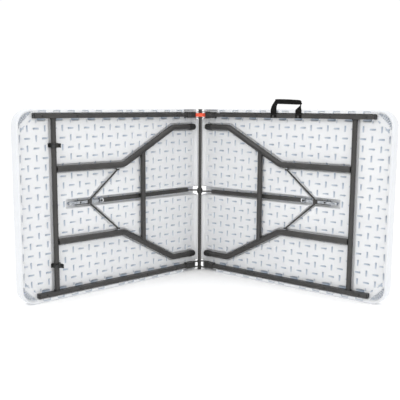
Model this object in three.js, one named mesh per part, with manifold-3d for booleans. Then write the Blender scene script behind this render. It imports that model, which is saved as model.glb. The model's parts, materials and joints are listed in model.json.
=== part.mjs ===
// Fold-in-half utility table, 1800 x 740 mm when open, standing half open on its long edges.
// Millimetres, +Z up. Each half is drawn in its own frame: x runs outwards from the fold axis,
// z is the height along the table's width, and "rise" is measured out of the underside from
// the plane of the panel's rim. The origin is the centre of the footprint, on the ground.
import * as THREE from 'three';
import { mergeVertices } from 'three/addons/utils/BufferGeometryUtils.js';
import Module from 'manifold-3d';

const wasm = await Module();
wasm.setup();

// ---- driving dimensions -------------------------------------------------------------------
const HALF_LENGTH = 900;
const WIDTH = 740;
const HALF_ANGLE_DEG = 40.5;      // each half's turn away from flat in this half-open position
const GAP = 0.3;                  // clearance between touching pieces
const SEAM_X = 1;                 // half of the gap between the two panels when flat
const AXIS_RISE = 4;              // fold axis, above the rim plane
const MID_Z = WIDTH / 2;

// panel
const TOP_RISE = -45;
const DECK_RISE = -20;
const SKIN = 3;
const OUTER_CORNER_R = 65;
const SEAM_CORNER_R = 6;
const END_RIM = 24;
const SIDE_RIM = 15;
const VENT_R = 3;
const VENT_Z = 600;

// rails and hinges
const RAIL_INSET = 27;              // from the panel's long edge to the rail's centre line
const RAIL_W = 17;
const RAIL_D = 19.4;
const RAIL_WALL = 1.2;
const RAIL_IN_X = 30;
const RAIL_OUT_X = 820;
const RAIL_TOP_RISE = 0;
const RAIL_RISE = RAIL_TOP_RISE - RAIL_D / 2;
const PLUG_FLANGE = 4;
const PLUG_DEPTH = 18;
const BRACKET_SHEET = 2;
const BRACKET_SLACK = 2.5;           // room between the rail's sides and the saddle
const EAR_REACH = 14;                // how far the ear's root laps along the saddle
const BRACKET_END_X = 75;
const BRACKET_START_X = 27;
const NOTCH_END_X = 92;
const NOTCH_OPEN_X = 18;
const EAR_R = 12;
const BEAM_R = 8;
const BEAM_WALL = 1.2;
const BEAM_END_Z = 3.5;
const BEAM_CAP_R = 10;
const BEAM_CAP_T = 1.6;

// leg frames
const TUBE_RISE = -10;
const PIVOT_X = 741;
const PIVOT_R = 10;
const LEG_R = 12.5;
const TUBE_WALL = 1.2;
const LEG_NEAR_Z = 142;           // offset from the centre line at the pivot end
const LEG_WIDE_Z = 290;           // offset from the centre line at the foot end
const LEG_BEND_OUT_X = 416;
const LEG_BEND_IN_X = 149;
const LEG_FOOT_X = 26;
const LEG_BEND_R = 55;
const CROSSBAR_X = 317;
const CROSSBAR_R = 11;
const CROSSBAR_RISE = -8;
const CAP_R = 13.6;
const CAP_TIP_X = 22;
const CAP_END_X = 56;
const BUSH_FLANGE_R = 13;
const BUSH_FLANGE_T = 3;
const BUSH_PIN_R = 6;
const BUSH_PIN_LENGTH = 3.4;
const BUSH_PLUG_DEPTH = 12;

// folding brace and wishbone
const BRACE_RISE = -30;
const BRACE_R = 9;
const BRACE_START_X = 46;
const BRACE_END_X = 515;
const BRACE_STRAIGHT_X = 430;        // beyond it the brace lies on the half's middle line
const BRACE_SIDESTEP = 4;            // at its inner end, towards its own eye
const NECK_REACH = 24;
const NECK_HALF = 7;
const CHANNEL_W = 11;
const CHANNEL_D = 9.5;
const CHANNEL_SHEET = 1.6;
const CHANNEL_START_X = 470;
const CHANNEL_END_X = 670;
const EYE_R = 13;
const EYE_T = 5;
const EYE_OFFSET = 0.5;
const COLLAR_R = 11;
const COLLAR_T = 6;
const ELBOW_X = 637;
const ELBOW_PIN_R = 2.6;
const ELBOW_HEAD_R = 5;
const ELBOW_HEAD_T = 2.2;
const FORK_START_X = 566;
const FORK_SHEET = 2.3;
const FORK_HALF = CHANNEL_D / 2 + 0.25;
const WISH_PIVOT_X = 446;
const WISH_ROD_R = 3.5;
const WISH_EYE_R = 7;
const WISH_EYE_T = 6;
const WISH_EYE_Z = 123;
const ARM_PIN_R = 6;
const RING_X = 521;
const RING_R = 11;
const RING_BORE = 8.2;
const RING_W = 12;

// clearance grooves in the panel
const LEG_GROOVE_W = 31;
const LEG_GROOVE_RISE = -25;
const PIVOT_GROOVE_W = 28;
const PIVOT_GROOVE_RISE = -24;
const BRACE_GROOVE_W = 36;
const BRACE_GROOVE_RISE = -41.5;
const BRACE_GROOVE_END_X = 684;
const WISH_GROOVE_W = 14;
const WISH_GROOVE_RISE = -30;
const GROOVE_TOP = 5;

// clips on the left pivot tube
const CLIP_OFFSETS_Z = [233, -234];
const CLIP_W = 16;
const CLIP_FOOT_W = 40;
const CLIP_FOOT_T = 4;
const CLIP_BODY_W = 27;
const CLIP_TOP_RISE = 21;
const CLIP_JAW_R = 10.7;

// carry handle on the right half's upper rail
const STRAP_T = 3;
const STRAP_FOOT_W = 26;
const STRAP_FOOT_X = [383, 500];
const STRAP_EDGE = 13.5;             // the loop's legs are a little wider than the tabs
const STRAP_TAB_Z = [704.5, 737];
const STRAP_LOOP_Z = 740;
const RIVET_R = 5;
const RIVET_Z = 711;

// orange hinge lock
const LOCK_HALF_W = 23;
const LOCK_FRONT = 13;
const LOCK_BACK = 7;
const LOCK_H = 16.5;
const LOCK_STEP = 9;                 // width of the lowered part of the lock's front
const LOCK_STEP_DEPTH = 3;

// mesh fineness
const TUBE_SIDES = 14;
const ROUND_SIDES = 20;
const BEND_STEPS = 4;

// ---- materials ----------------------------------------------------------------------------
const material = (color, roughness, metalness) =>
  new THREE.MeshStandardMaterial({ color, roughness, metalness });
const PANEL_PLASTIC = () => material(0xeef0f2, 0.5, 0);
const DARK_STEEL = () => material(0x464442, 0.45, 0.6);
const BLACK_PLASTIC = () => material(0x141414, 0.5, 0);
const ORANGE_PLASTIC = () => material(0xf0502d, 0.4, 0);
const WEBBING = () => material(0x161514, 0.9, 0);
const ZINC = () => material(0x9aa0a5, 0.35, 0.9);

// ---- booleans -----------------------------------------------------------------------------
function toSolid(geometry) {
  const bare = new THREE.BufferGeometry();
  bare.setAttribute('position', geometry.getAttribute('position'));
  if (geometry.index) {
    bare.setIndex(geometry.index);
  }
  const merged = mergeVertices(bare, 1e-4);
  return new wasm.Manifold(new wasm.Mesh({
    numProp: 3,
    vertProperties: new Float32Array(merged.getAttribute('position').array),
    triVerts: new Uint32Array(merged.index.array),
  }));
}

function toGeometry(solid) {
  const mesh = solid.getMesh();
  const geometry = new THREE.BufferGeometry();
  geometry.setAttribute('position', new THREE.BufferAttribute(mesh.vertProperties, 3));
  geometry.setIndex(new THREE.BufferAttribute(mesh.triVerts, 1));
  geometry.computeVertexNormals();
  return geometry;
}

function join(...geometries) {
  return toGeometry(geometries.map(toSolid).reduce((sum, next) => sum.add(next)));
}

function cut(geometry, ...tools) {
  return toGeometry(tools.map(toSolid).reduce((rest, tool) => rest.subtract(tool), toSolid(geometry)));
}

// ---- shapes in a half's own frame ---------------------------------------------------------
// A rise becomes y: the underside faces -y and the fold axis is at y = 0.
const yOf = (rise) => AXIS_RISE - rise;

function box(x0, x1, rise0, rise1, z0, z1) {
  const geometry = new THREE.BoxGeometry(x1 - x0, rise1 - rise0, z1 - z0);
  return geometry.translate((x0 + x1) / 2, yOf((rise0 + rise1) / 2), (z0 + z1) / 2);
}

// A round bar along z.
function upright(x, rise, z0, z1, radius, sides = ROUND_SIDES) {
  const geometry = new THREE.CylinderGeometry(radius, radius, z1 - z0, sides);
  return geometry.rotateX(Math.PI / 2).translate(x, yOf(rise), (z0 + z1) / 2);
}

// A turned piece along z, from [radius, z] points that start and end on its axis.
function turned(points, x, rise, sides = ROUND_SIDES) {
  const profile = points.map(([radius, z]) => new THREE.Vector2(radius, z));
  const geometry = new THREE.LatheGeometry(profile, sides);
  return geometry.rotateX(Math.PI / 2).translate(x, yOf(rise), 0);
}

// An outline of [x, z] points, thick from one rise to another.
function plate(outline, rise0, rise1) {
  const geometry = new THREE.ExtrudeGeometry(
    polygon(outline), { depth: rise1 - rise0, bevelEnabled: false });
  return geometry.rotateX(Math.PI / 2).translate(0, yOf(rise0), 0);
}

// An outline of [x, rise] points, thick from z0 to z1.
function sidePlate(outline, z0, z1) {
  const shape = polygon(outline.map(([x, rise]) => [x, yOf(rise)]));
  const geometry = new THREE.ExtrudeGeometry(shape, { depth: z1 - z0, bevelEnabled: false });
  return geometry.translate(0, 0, z0);
}

function polygon(points) {
  return new THREE.Shape(points.map(([x, y]) => new THREE.Vector2(x, y)));
}

function roundedOutline(x0, x1, z0, z1, innerR, outerR) {
  const shape = new THREE.Shape();
  shape.moveTo(x0 + innerR, z0);
  shape.lineTo(x1 - outerR, z0);
  shape.absarc(x1 - outerR, z0 + outerR, outerR, -Math.PI / 2, 0, false);
  shape.lineTo(x1, z1 - outerR);
  shape.absarc(x1 - outerR, z1 - outerR, outerR, 0, Math.PI / 2, false);
  shape.lineTo(x0 + innerR, z1);
  shape.absarc(x0 + innerR, z1 - innerR, innerR, Math.PI / 2, Math.PI, false);
  shape.lineTo(x0, z0 + innerR);
  shape.absarc(x0 + innerR, z0 + innerR, innerR, Math.PI, 1.5 * Math.PI, false);
  return shape;
}

function roundedPlate(x0, x1, z0, z1, innerR, outerR, rise0, rise1, curveSegments) {
  const shape = roundedOutline(x0, x1, z0, z1, innerR, outerR);
  const geometry = new THREE.ExtrudeGeometry(
    shape, { depth: rise1 - rise0, bevelEnabled: false, curveSegments });
  return geometry.rotateX(Math.PI / 2).translate(0, yOf(rise0), 0);
}

// A path of straight runs whose corners are arcs, with a station at each end of a run and
// a few along each arc, so that a swept tube has no rings to spare.
class BentPath extends THREE.Curve {
  constructor(corners, bendRadius) {
    super();
    this.points = [corners[0]];
    this.tangents = [corners[1].clone().sub(corners[0]).normalize()];
    for (let i = 1; i < corners.length - 1; i += 1) {
      this.addBend(corners[i - 1], corners[i], corners[i + 1], bendRadius);
    }
    this.points.push(corners.at(-1));
    this.tangents.push(corners.at(-1).clone().sub(corners.at(-2)).normalize());
    this.steps = this.points.length - 1;
  }

  addBend(before, corner, after, bendRadius) {
    const into = corner.clone().sub(before).normalize();
    const out = after.clone().sub(corner).normalize();
    const turn = into.angleTo(out);
    const axis = new THREE.Vector3().crossVectors(into, out).normalize();
    const start = corner.clone().addScaledVector(into, -bendRadius * Math.tan(turn / 2));
    const centre = start.clone().addScaledVector(
      new THREE.Vector3().crossVectors(axis, into), bendRadius);
    for (let i = 0; i <= BEND_STEPS; i += 1) {
      const angle = (turn * i) / BEND_STEPS;
      this.points.push(start.clone().sub(centre).applyAxisAngle(axis, angle).add(centre));
      this.tangents.push(into.clone().applyAxisAngle(axis, angle));
    }
  }

  getPoint(t) {
    return this.points[Math.round(t * this.steps)].clone();
  }

  getPointAt(u) {
    return this.getPoint(u);
  }

  getTangentAt(u) {
    return this.tangents[Math.round(u * this.steps)].clone();
  }
}

function circle(radius, sides) {
  const points = [];
  for (let i = 0; i < sides; i += 1) {
    const angle = (2 * Math.PI * i) / sides;
    points.push([radius * Math.cos(angle), radius * Math.sin(angle)]);
  }
  return polygon(points);
}

// A round tube through [x, rise, z] corners; with no wall it is a solid rod.
function tube(corners, radius, wall = 0, bendRadius = LEG_BEND_R, sides = TUBE_SIDES) {
  const path = new BentPath(
    corners.map(([x, rise, z]) => new THREE.Vector3(x, yOf(rise), z)), bendRadius);
  const section = circle(radius, sides);
  if (wall > 0) {
    section.holes.push(circle(radius - wall, sides));
  }
  return new THREE.ExtrudeGeometry(section, { steps: path.steps, extrudePath: path });
}

// A straight clearance groove between two [x, z] points, with round ends.
function groove(from, to, width, rise) {
  const [x0, z0] = from;
  const [x1, z1] = to;
  const length = Math.hypot(x1 - x0, z1 - z0);
  const across = [(-(z1 - z0) / length) * (width / 2), ((x1 - x0) / length) * (width / 2)];
  const bar = plate([
    [x0 - across[0], z0 - across[1]],
    [x1 - across[0], z1 - across[1]],
    [x1 + across[0], z1 + across[1]],
    [x0 + across[0], z0 + across[1]],
  ], rise, GROOVE_TOP);
  const ends = [from, to].map(([x, z]) => {
    const disc = new THREE.CylinderGeometry(width / 2, width / 2, GROOVE_TOP - rise, 16);
    return disc.translate(x, yOf((rise + GROOVE_TOP) / 2), z);
  });
  return join(bar, ...ends);
}

// ---- the panel ----------------------------------------------------------------------------
// Every groove grows by the skin to keep the moulded hollow away from it.
function panelGrooves(grow) {
  const legW = LEG_GROOVE_W + 2 * grow;
  const wishW = WISH_GROOVE_W + 2 * grow;
  const tools = [];
  for (const side of [-1, 1]) {
    const corners = legCorners(side).map(([x, , z]) => [x, z]);
    corners[0][0] = CAP_TIP_X + CAP_R;
    for (let i = 0; i < corners.length - 1; i += 1) {
      tools.push(groove(corners[i], corners[i + 1], legW, LEG_GROOVE_RISE - grow));
    }
    tools.push(groove(
      [ELBOW_X - 60, MID_Z + side * 6], [ELBOW_X - 137, MID_Z + side * 75],
      wishW, WISH_GROOVE_RISE - grow));
  }
  const pivotHalf = PIVOT_GROOVE_W / 2 + grow;
  const railInner = RAIL_INSET + RAIL_W / 2;
  tools.push(box(
    PIVOT_X - pivotHalf, PIVOT_X + pivotHalf, PIVOT_GROOVE_RISE - grow, GROOVE_TOP,
    railInner - grow, WIDTH - railInner + grow));
  const braceHalf = BRACE_GROOVE_W / 2 + grow;
  tools.push(box(
    -SEAM_CORNER_R, BRACE_GROOVE_END_X + grow, BRACE_GROOVE_RISE - 3 * grow, GROOVE_TOP,
    MID_Z - braceHalf, MID_Z + braceHalf));
  return tools;
}

function hingeNotches() {
  const tools = [];
  const innerZ = WIDTH - RAIL_INSET - RAIL_W / 2;
  const wallZ = WIDTH - SKIN;
  for (const [z0, z1] of [[innerZ, wallZ], [WIDTH - wallZ, WIDTH - innerZ]]) {
    tools.push(box(-SEAM_CORNER_R, NOTCH_END_X, DECK_RISE, GROOVE_TOP, z0, z1));
  }
  for (const [z0, z1] of [[innerZ, WIDTH + GAP], [-GAP, WIDTH - innerZ]]) {
    tools.push(box(-SEAM_CORNER_R, NOTCH_OPEN_X, DECK_RISE, GROOVE_TOP, z0, z1));
  }
  return tools;
}

function panelGeometry() {
  const body = roundedPlate(
    SEAM_X, HALF_LENGTH, 0, WIDTH, SEAM_CORNER_R, OUTER_CORNER_R, TOP_RISE, 0, 10);
  const pocket = roundedPlate(
    -2 * SEAM_CORNER_R, HALF_LENGTH - END_RIM, SIDE_RIM, WIDTH - SIDE_RIM,
    SEAM_CORNER_R, OUTER_CORNER_R - END_RIM, DECK_RISE, GROOVE_TOP, 8);
  const hollow = cut(
    roundedPlate(
      SEAM_X + SKIN, HALF_LENGTH - SKIN, SKIN, WIDTH - SKIN,
      SEAM_CORNER_R - SKIN, OUTER_CORNER_R - SKIN, TOP_RISE + SKIN, DECK_RISE - SKIN, 10),
    ...panelGrooves(SKIN));
  const vent = new THREE.CylinderGeometry(VENT_R, VENT_R, 4 * SKIN, 8);
  vent.rotateZ(Math.PI / 2).translate(SEAM_X + SKIN, yOf((TOP_RISE + DECK_RISE) / 2), VENT_Z);
  return cut(body, pocket, ...panelGrooves(0), ...hingeNotches(), hollow, vent);
}

// ---- rails, plugs and hinges --------------------------------------------------------------
function rectangle(width, depth) {
  const d = depth / 2;
  const w = width / 2;
  return [[-d, -w], [d, -w], [d, w], [-d, w]];
}

// A straight bar along x with an outline given as [rise, z] about its centre.
function alongX(outline, hole, x0, x1, rise, z) {
  const section = polygon(outline);
  if (hole) {
    section.holes.push(polygon(hole));
  }
  const geometry = new THREE.ExtrudeGeometry(section, { depth: x1 - x0, bevelEnabled: false });
  geometry.applyMatrix4(new THREE.Matrix4().set(
    0, 0, 1, x0,
    -1, 0, 0, yOf(rise),
    0, -1, 0, z,
    0, 0, 0, 1));
  return geometry;
}

function railGeometry(railZ, inward) {
  const bar = alongX(
    rectangle(RAIL_W, RAIL_D), rectangle(RAIL_W - 2 * RAIL_WALL, RAIL_D - 2 * RAIL_WALL),
    RAIL_IN_X, RAIL_OUT_X, RAIL_RISE, railZ);
  const innerFace = railZ + (inward * RAIL_W) / 2;
  return cut(bar, upright(
    PIVOT_X, TUBE_RISE, innerFace - 2 * RAIL_WALL, innerFace + 2 * RAIL_WALL, BUSH_PIN_R + GAP));
}

function plugGeometry(railZ) {
  const inner = 2 * (RAIL_WALL + GAP);
  return join(
    alongX(rectangle(RAIL_W, RAIL_D), null,
      RAIL_OUT_X + GAP, RAIL_OUT_X + GAP + PLUG_FLANGE, RAIL_RISE, railZ),
    alongX(rectangle(RAIL_W - inner, RAIL_D - inner), null,
      RAIL_OUT_X - PLUG_DEPTH, RAIL_OUT_X + 1, RAIL_RISE, railZ));
}

// A sheet-metal saddle over the rail's end, with two ears round the fold axis. The outer
// layer's ears are lapped on the outside, so that they pass the other half's ears.
function bracketGeometry(railZ, outerLayer) {
  const inside = RAIL_W / 2 + BRACKET_SLACK;
  const outside = inside + BRACKET_SHEET;
  const top = RAIL_TOP_RISE + GAP + BRACKET_SHEET;
  const foot = DECK_RISE + GAP;
  const pieces = [
    box(BRACKET_START_X, BRACKET_END_X, RAIL_TOP_RISE + GAP, top, railZ - outside, railZ + outside),
  ];
  const root = BRACKET_START_X + 2;
  const rootFoot = foot + 4;
  const earOutline = [
    [0, AXIS_RISE + EAR_R - GAP], [EAR_R / 2, AXIS_RISE + EAR_R * Math.cos(Math.PI / 6) - GAP],
    [root, top], [BRACKET_START_X + EAR_REACH, top], [BRACKET_START_X + EAR_REACH, rootFoot],
    [root, rootFoot], [0, AXIS_RISE - EAR_R + GAP],
  ];
  const holes = [];
  for (const side of [-1, 1]) {
    const span = (a, b) => [railZ + side * a, railZ + side * b].sort((p, q) => p - q);
    pieces.push(box(BRACKET_START_X, BRACKET_END_X, foot, top, ...span(inside, outside)));
    const lift = outerLayer ? BRACKET_SHEET + GAP : 0;
    const ear = span(inside + lift, outside + lift);
    pieces.push(sidePlate(earOutline, ...ear));
    pieces.push(upright(0, AXIS_RISE, ...ear, EAR_R));
    if (outerLayer) {
      pieces.push(box(
        root + 1, BRACKET_START_X + EAR_REACH, rootFoot, top, ...span(inside + 1, outside + 1)));
    }
    holes.push(upright(0, AXIS_RISE, ear[0] - 1, ear[1] + 1, BEAM_R + GAP));
  }
  return cut(join(...pieces), ...holes);
}

// ---- leg frame ----------------------------------------------------------------------------
function legCorners(side) {
  return [
    [LEG_FOOT_X, TUBE_RISE, MID_Z + side * LEG_WIDE_Z],
    [LEG_BEND_IN_X, TUBE_RISE, MID_Z + side * LEG_WIDE_Z],
    [LEG_BEND_OUT_X, TUBE_RISE, MID_Z + side * LEG_NEAR_Z],
    [PIVOT_X - PIVOT_R - GAP, TUBE_RISE, MID_Z + side * LEG_NEAR_Z],
  ];
}

function crossbarGeometry() {
  const slope = (LEG_WIDE_Z - LEG_NEAR_Z) / (LEG_BEND_OUT_X - LEG_BEND_IN_X);
  const reach = LEG_NEAR_Z + (LEG_BEND_OUT_X - CROSSBAR_X) * slope;
  const bar = tube(
    [[CROSSBAR_X, CROSSBAR_RISE, MID_Z - reach], [CROSSBAR_X, CROSSBAR_RISE, MID_Z + reach]],
    CROSSBAR_R, TUBE_WALL);
  const copes = [-1, 1].map((side) => tube(legCorners(side), LEG_R + GAP));
  const beyond = [-1, 1].map((side) => {
    const far = MID_Z + side * (reach + CROSSBAR_R);
    const near = MID_Z + side * reach;
    return box(
      CROSSBAR_X - 2 * CROSSBAR_R, CROSSBAR_X + 2 * CROSSBAR_R,
      CROSSBAR_RISE - 2 * CROSSBAR_R, CROSSBAR_RISE + 2 * CROSSBAR_R,
      Math.min(near, far), Math.max(near, far));
  });
  const pieces = toSolid(cut(bar, ...copes, ...beyond)).decompose();
  return toGeometry(pieces.reduce((best, next) => (next.volume() > best.volume() ? next : best)));
}

function footCapGeometry(side) {
  const z = MID_Z + side * LEG_WIDE_Z;
  const bore = LEG_R + GAP;
  const profile = [
    [0, CAP_TIP_X], [CAP_R - 5, CAP_TIP_X], [CAP_R - 1.5, CAP_TIP_X + 1.6], [CAP_R, CAP_TIP_X + 5],
    [CAP_R, CAP_END_X], [bore, CAP_END_X], [bore, LEG_FOOT_X - GAP], [0, LEG_FOOT_X - GAP],
  ];
  const geometry = new THREE.LatheGeometry(
    profile.map(([radius, x]) => new THREE.Vector2(radius, x)), ROUND_SIDES);
  return geometry.rotateZ(-Math.PI / 2).translate(0, yOf(TUBE_RISE), z);
}

function bushGeometry(side) {
  const railFace = MID_Z - RAIL_INSET - RAIL_W / 2;
  const flangeIn = railFace - GAP - BUSH_FLANGE_T;
  const profile = [
    [0, flangeIn - BUSH_PLUG_DEPTH], [PIVOT_R - TUBE_WALL - GAP, flangeIn - BUSH_PLUG_DEPTH],
    [PIVOT_R - TUBE_WALL - GAP, flangeIn], [BUSH_FLANGE_R, flangeIn],
    [BUSH_FLANGE_R, railFace - GAP], [BUSH_PIN_R, railFace - GAP],
    [BUSH_PIN_R, railFace + BUSH_PIN_LENGTH], [0, railFace + BUSH_PIN_LENGTH],
  ];
  const geometry = new THREE.LatheGeometry(
    profile.map(([radius, z]) => new THREE.Vector2(radius, z)), ROUND_SIDES);
  geometry.rotateX(side > 0 ? Math.PI / 2 : -Math.PI / 2);
  return geometry.translate(PIVOT_X, yOf(TUBE_RISE), MID_Z);
}

function pivotTubeGeometry() {
  const end = RAIL_INSET + RAIL_W / 2 + 2 * GAP + BUSH_FLANGE_T;
  return tube([[PIVOT_X, TUBE_RISE, end], [PIVOT_X, TUBE_RISE, WIDTH - end]], PIVOT_R, TUBE_WALL);
}

// ---- brace and wishbone -------------------------------------------------------------------
// The eye turns on the centre beam. The left half's eye sits above the right half's.
function braceTubeGeometry(layer) {
  const z0 = MID_Z + (layer > 0 ? EYE_OFFSET : -EYE_OFFSET - EYE_T);
  const z1 = z0 + EYE_T;
  const neckEnd = BRACE_START_X + NECK_REACH;
  const neck = sidePlate([
    [0, AXIS_RISE + EYE_R - GAP], [EYE_R / 2, AXIS_RISE + EYE_R * Math.cos(Math.PI / 6) - GAP],
    [BRACE_START_X + NECK_REACH / 3, BRACE_RISE + NECK_HALF], [neckEnd, BRACE_RISE + NECK_HALF],
    [neckEnd, BRACE_RISE - NECK_HALF], [BRACE_START_X - NECK_REACH / 3, BRACE_RISE - NECK_HALF],
    [0, AXIS_RISE - EYE_R + GAP],
  ], z0, z1);
  const innerEnd = [BRACE_START_X, BRACE_RISE, MID_Z + layer * BRACE_SIDESTEP];
  const straight = [BRACE_STRAIGHT_X, BRACE_RISE, MID_Z];
  const shell = tube([innerEnd, straight, [BRACE_END_X, BRACE_RISE, MID_Z]], BRACE_R, TUBE_WALL);
  const endPlug = cut(
    tube([innerEnd, straight], BRACE_R - TUBE_WALL / 2),
    box(neckEnd, BRACE_END_X, BRACE_RISE - EYE_R, BRACE_RISE + EYE_R, MID_Z - EYE_R, MID_Z + EYE_R));
  return cut(
    join(shell, endPlug, neck, upright(0, AXIS_RISE, z0, z1, EYE_R)),
    upright(0, AXIS_RISE, z0 - 1, z1 + 1, BEAM_R + GAP));
}

// A pressed channel, open towards the panel, that runs on out of the tube to the elbow.
function channelGeometry() {
  const w = CHANNEL_W / 2;
  const d = CHANNEL_D / 2;
  const t = CHANNEL_SHEET;
  const section = [
    [-d, -w], [d, -w], [d, w], [-d, w],
    [-d, w - t], [d - t, w - t], [d - t, t - w], [-d, t - w],
  ];
  return cut(
    alongX(section, null, CHANNEL_START_X, CHANNEL_END_X, BRACE_RISE, MID_Z),
    upright(ELBOW_X, BRACE_RISE, MID_Z - w - 1, MID_Z + w + 1, ELBOW_PIN_R + GAP, 12));
}

function wishboneGeometry() {
  const inner = CHANNEL_W / 2 + 0.5;
  const outer = inner + FORK_SHEET;
  const pieces = [box(
    FORK_START_X, FORK_START_X + 17, BRACE_RISE + CHANNEL_D / 2 + 0.5,
    BRACE_RISE + CHANNEL_D / 2 + 3.5, MID_Z - outer, MID_Z + outer)];
  const fall = (BRACE_RISE - TUBE_RISE) / (ELBOW_X - WISH_PIVOT_X);
  const rise = (x) => TUBE_RISE + (x - WISH_PIVOT_X) * fall;
  for (const side of [-1, 1]) {
    const z = (offset) => MID_Z + side * offset;
    const low = Math.min(z(inner), z(outer));
    pieces.push(box(
      FORK_START_X, ELBOW_X, BRACE_RISE - FORK_HALF, BRACE_RISE + CHANNEL_D / 2 + 2,
      low, low + FORK_SHEET));
    pieces.push(upright(ELBOW_X, BRACE_RISE, low, low + FORK_SHEET, FORK_HALF));
    pieces.push(tube([
      [FORK_START_X + 6, rise(FORK_START_X + 6), z(outer + 1.6)],
      [WISH_PIVOT_X + 2, rise(WISH_PIVOT_X + 2), z(WISH_EYE_Z - 1)],
    ], WISH_ROD_R, 0, 1, 10));
    pieces.push(upright(
      WISH_PIVOT_X, TUBE_RISE, z(WISH_EYE_Z) - WISH_EYE_T / 2, z(WISH_EYE_Z) + WISH_EYE_T / 2,
      WISH_EYE_R, 16));
  }
  return cut(join(...pieces), upright(
    ELBOW_X, BRACE_RISE, MID_Z - outer - 1, MID_Z + outer + 1, ELBOW_PIN_R + GAP, 12));
}

function elbowPinGeometry() {
  const face = CHANNEL_W / 2 + 0.5 + FORK_SHEET + GAP;
  const end = face + ELBOW_HEAD_T;
  return turned([
    [0, -end], [ELBOW_HEAD_R - 1, -end], [ELBOW_HEAD_R, -end + 1], [ELBOW_HEAD_R, -face],
    [ELBOW_PIN_R, -face], [ELBOW_PIN_R, face], [ELBOW_HEAD_R, face], [ELBOW_HEAD_R, end - 1],
    [ELBOW_HEAD_R - 1, end], [0, end],
  ], ELBOW_X, BRACE_RISE, 12).translate(0, 0, MID_Z);
}

// A rivet on the leg tube that the arm's eye meets when folded and when open.
function armPinGeometry(side) {
  const eyeFace = WISH_EYE_Z + WISH_EYE_T / 2 + GAP;
  const tubeFace = LEG_NEAR_Z - LEG_R - GAP;
  const ends = [MID_Z + side * eyeFace, MID_Z + side * tubeFace].sort((a, b) => a - b);
  return upright(WISH_PIVOT_X, TUBE_RISE, ...ends, ARM_PIN_R, 16);
}

function ringGeometry() {
  const profile = [
    [RING_BORE, -RING_W / 2], [RING_R - 1, -RING_W / 2], [RING_R, -RING_W / 2 + 1],
    [RING_R, RING_W / 2 - 1], [RING_R - 1, RING_W / 2], [RING_BORE, RING_W / 2],
    [RING_BORE, -RING_W / 2],
  ];
  const geometry = new THREE.LatheGeometry(
    profile.map(([radius, x]) => new THREE.Vector2(radius, x)), ROUND_SIDES);
  return geometry.rotateZ(-Math.PI / 2).translate(RING_X, yOf(BRACE_RISE), MID_Z);
}

// ---- pieces that only one half has --------------------------------------------------------
// A clip stands on the deck beside the pivot tube and grips the other half's tube when shut.
function clipGeometry(offsetZ) {
  const z0 = MID_Z + offsetZ - CLIP_W / 2;
  const z1 = z0 + CLIP_W;
  const foot = DECK_RISE + GAP;
  const otherTube = 2 * AXIS_RISE - TUBE_RISE;
  const body = join(
    box(PIVOT_X - CLIP_BODY_W / 2, PIVOT_X + CLIP_BODY_W / 2, foot, CLIP_TOP_RISE, z0, z1),
    box(PIVOT_X - CLIP_FOOT_W / 2, PIVOT_X + CLIP_FOOT_W / 2, foot, foot + CLIP_FOOT_T, z0, z1));
  return cut(
    body,
    upright(PIVOT_X, TUBE_RISE, z0 - 1, z1 + 1, PIVOT_R + GAP),
    upright(PIVOT_X, otherTube, z0 - 1, z1 + 1, CLIP_JAW_R),
    box(
      PIVOT_X - CLIP_JAW_R + GAP, PIVOT_X + CLIP_JAW_R - GAP, otherTube, otherTube + CLIP_JAW_R,
      z0 - 1, z1 + 1),
    box(
      PIVOT_X - PIVOT_R + 2, PIVOT_X + PIVOT_R - 2, foot - 1, TUBE_RISE - 2, z0 - 1, z1 + 1));
}

function strapTabGeometry(x) {
  return box(
    x - STRAP_FOOT_W / 2, x + STRAP_FOOT_W / 2, RAIL_TOP_RISE + GAP, RAIL_TOP_RISE + GAP + STRAP_T,
    ...STRAP_TAB_Z);
}

function strapLoopGeometry() {
  const [inner, outer] = STRAP_FOOT_X;
  const outline = [
    [inner - STRAP_EDGE, STRAP_LOOP_Z], [inner - 6, STRAP_LOOP_Z + 20],
    [inner + 9, STRAP_LOOP_Z + 42], [outer + 6, STRAP_LOOP_Z + 38],
    [outer + 17, STRAP_LOOP_Z + 21.5], [outer + STRAP_EDGE, STRAP_LOOP_Z],
    [outer - STRAP_EDGE, STRAP_LOOP_Z], [outer - 9, STRAP_LOOP_Z + 8],
    [outer + 3, STRAP_LOOP_Z + 18.5], [inner + 20, STRAP_LOOP_Z + 21.5],
    [inner + STRAP_EDGE, STRAP_LOOP_Z],
  ];
  return plate(outline, RAIL_TOP_RISE + GAP, RAIL_TOP_RISE + GAP + STRAP_T);
}

function rivetGeometry(x) {
  const face = RAIL_TOP_RISE + 2 * GAP + STRAP_T;
  const geometry = new THREE.LatheGeometry(
    [[0, 0], [RIVET_R, 0], [RIVET_R, 0.6], [RIVET_R - 2, 1.5], [0, 1.6]]
      .map(([radius, y]) => new THREE.Vector2(radius, y)), ROUND_SIDES);
  return geometry.rotateX(Math.PI).translate(x, yOf(face), RIVET_Z);
}

// ---- pieces on the fold axis --------------------------------------------------------------
function beamGeometry() {
  return tube([[0, AXIS_RISE, BEAM_END_Z], [0, AXIS_RISE, WIDTH - BEAM_END_Z]], BEAM_R, BEAM_WALL);
}

function beamCapGeometry(side) {
  const end = MID_Z - BEAM_END_Z + GAP;
  const plugR = BEAM_R - BEAM_WALL - GAP;
  const profile = [
    [0, end - 10], [plugR, end - 10], [plugR, end], [BEAM_CAP_R, end],
    [BEAM_CAP_R, end + BEAM_CAP_T - 0.6], [BEAM_CAP_R - 1, end + BEAM_CAP_T], [0, end + BEAM_CAP_T],
  ];
  const geometry = new THREE.LatheGeometry(
    profile.map(([radius, z]) => new THREE.Vector2(radius, z)), ROUND_SIDES);
  geometry.rotateX(side > 0 ? Math.PI / 2 : -Math.PI / 2);
  return geometry.translate(0, 0, MID_Z);
}

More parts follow.
